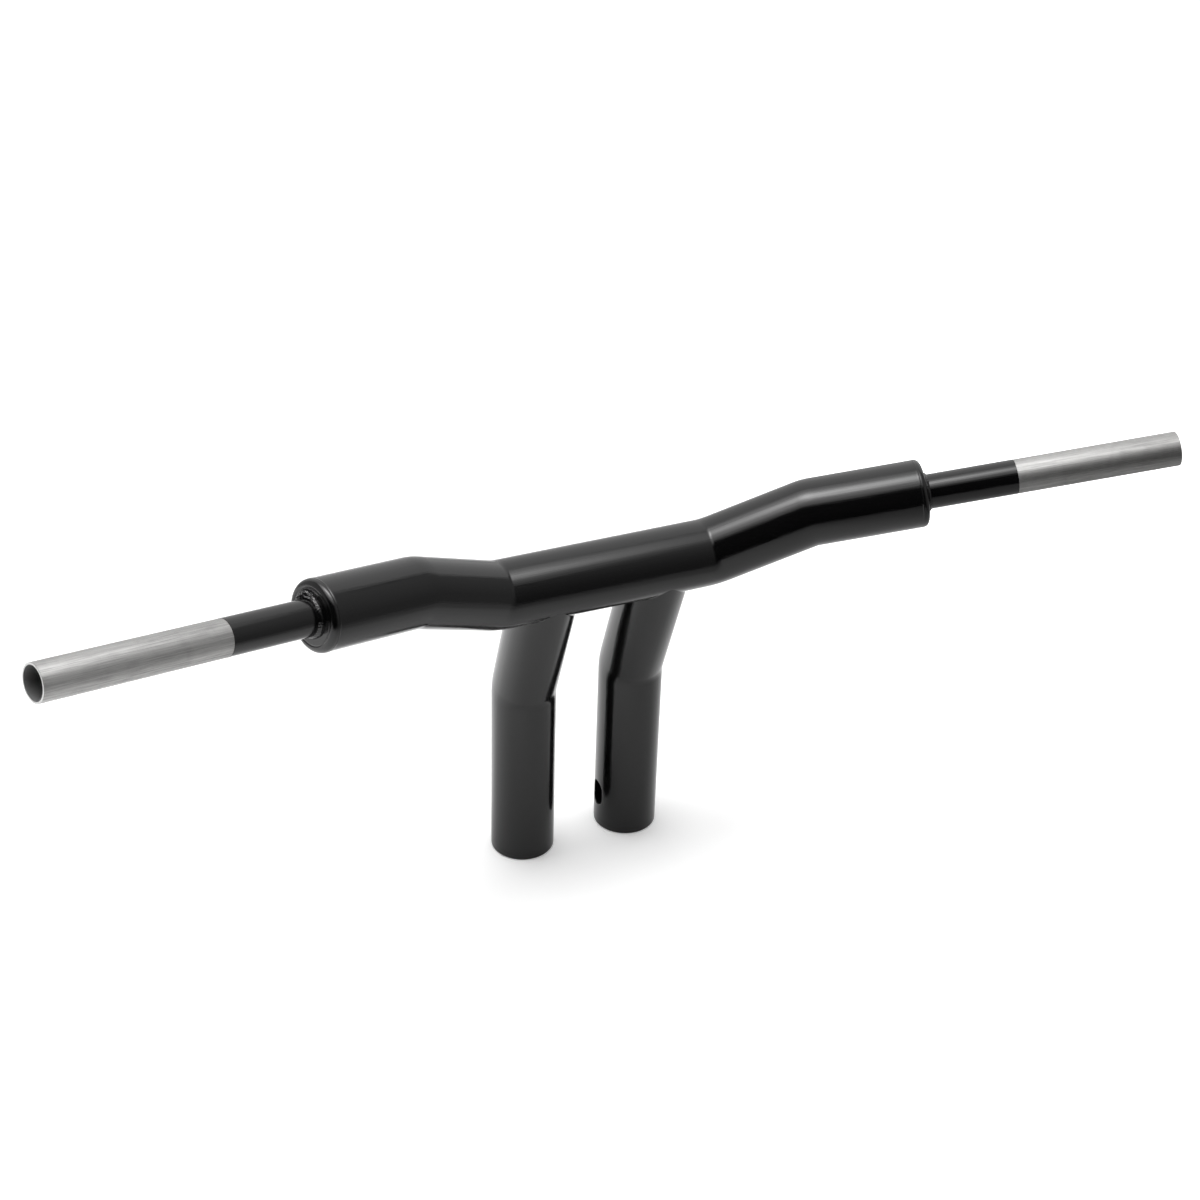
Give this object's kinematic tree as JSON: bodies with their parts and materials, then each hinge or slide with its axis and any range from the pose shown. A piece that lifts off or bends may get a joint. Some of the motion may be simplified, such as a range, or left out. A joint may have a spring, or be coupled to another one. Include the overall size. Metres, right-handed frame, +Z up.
{
  "type": "t-bar handlebar",
  "caption": "Gloss black welded T-bar motorcycle handlebar: fat swept crossbar on two leaning risers, stepped down to bare steel ends for grips and controls.",
  "frame": {"origin": "on the mounting plane of the riser feet, midway between the two bolts", "axes": "+X along the crossbar to the rider's right, -Y back towards the rider, +Z up along the riser posts"},
  "size_m": [0.8366, 0.1912, 0.3554],
  "materials": {
    "black_coat": "gloss black powder coat",
    "bare_steel": "bare drawn steel with fine lengthwise marks",
    "bung_steel": "turned steel"
  },
  "bodies": {
    "root": {"centre_tube": "black_coat", "left_kick_tube": "black_coat", "left_arm_tube": "black_coat", "left_end_plug": "black_coat", "left_riser_post": "black_coat", "left_riser_neck": "black_coat", "right_kick_tube": "black_coat", "right_arm_tube": "black_coat", "right_end_plug": "black_coat", "right_riser_post": "black_coat", "right_riser_neck": "black_coat", "left_grip_tube": "bare_steel", "right_grip_tube": "bare_steel", "left_riser_bung": "bung_steel", "right_riser_bung": "bung_steel"}
  },
  "joints": []
}
